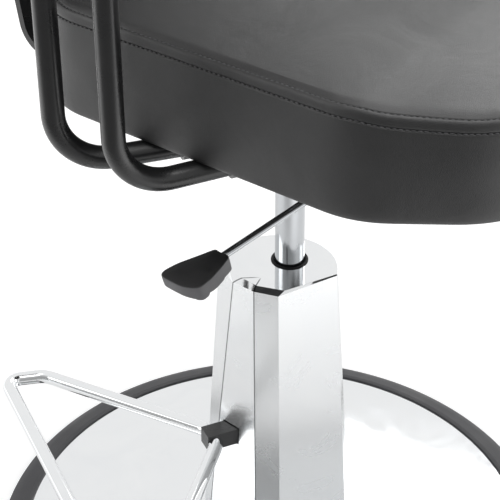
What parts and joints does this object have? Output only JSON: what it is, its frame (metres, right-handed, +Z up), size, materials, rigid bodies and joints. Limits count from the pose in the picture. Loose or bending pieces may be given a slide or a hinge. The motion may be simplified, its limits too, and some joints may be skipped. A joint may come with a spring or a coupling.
{
  "type": "hairdressing chair",
  "caption": "Hairdressing chair: swivelling padded seat on a rising column, side height lever, armrests, backrest, loop footrest, tapered cover and round weighted base.",
  "frame": {"origin": "centre of the round base's underside, on the floor", "axes": "+Z up; the sitter faces -Y; +X is the sitter's left"},
  "size_m": [0.5929, 0.587, 1.0517],
  "materials": {
    "chrome": "polished",
    "steel": "bright zinc plated",
    "black_paint": "satin",
    "iron": "matte",
    "rubber": "matte",
    "plastic": "matte",
    "wood": "raw plywood",
    "leatherette": "fine grain, satin"
  },
  "bodies": {
    "base": {"floor_pad": "rubber", "ballast": "iron", "rubber_ring": "rubber", "base_disc": "chrome", "socket_flange": "steel", "flange_bolts": "steel", "stand_tube": "black_paint", "guide_bush": "plastic", "lower_race": "steel", "bearing_cage": "plastic", "cover": "chrome", "cover_seal": "rubber", "footrest": "chrome", "foot_clamp": "black_paint", "clamp_bolts": "steel"},
    "spring_core": {"upper_race": "steel", "piston_rod": "steel", "piston": "plastic", "rod_clip": "steel"},
    "seat": {"column": "chrome", "taper_socket": "steel", "pan_bolts": "steel", "tube_saddles": "steel", "saddle_screws": "steel", "arm_pad_screws": "steel", "bracket_bolts": "steel", "back_screws": "steel", "seat_pan": "black_paint", "shaft_brackets": "black_paint", "right_front_arm_tube": "black_paint", "right_rear_arm_tube": "black_paint", "left_front_arm_tube": "black_paint", "left_rear_arm_tube": "black_paint", "right_arm_rail": "black_paint", "left_arm_rail": "black_paint", "right_back_bracket": "black_paint", "left_back_bracket": "black_paint", "rod_guide": "plastic", "tube_plugs": "plastic", "seat_board": "wood", "arm_pad_boards": "wood", "back_board": "wood", "seat_cushion": "leatherette", "right_arm_pad": "leatherette", "left_arm_pad": "leatherette", "back_cushion": "leatherette"},
    "lever": {"lever_shaft": "steel", "lever_rod": "chrome", "paddle": "plastic"},
    "pin": {"release_pin": "steel"}
  },
  "joints": [
    {"name": "swivel", "type": "hinge", "parent": "base", "child": "spring_core", "pos_m": [0.026, 0, 0.04], "axis": [0, 0, 1], "continuous": true},
    {"name": "height", "type": "slide", "parent": "spring_core", "child": "seat", "axis": [0, 0, 1], "range_m": [-0.145, 0]},
    {"name": "lever", "type": "hinge", "parent": "seat", "child": "lever", "pos_m": [-0.013, 0, 0.505], "axis": [0, 1, 0], "range_deg": [0, 5], "stiffness_Nm_per_rad": 6},
    {"name": "pin", "type": "slide", "parent": "seat", "child": "pin", "axis": [0, 0, 1], "range_m": [-0.0036, 0], "stiffness_N_per_m": 500}
  ],
  "couplings": [
    {"joint": "pin", "follows": "lever", "m_per_rad": -0.039}
  ]
}
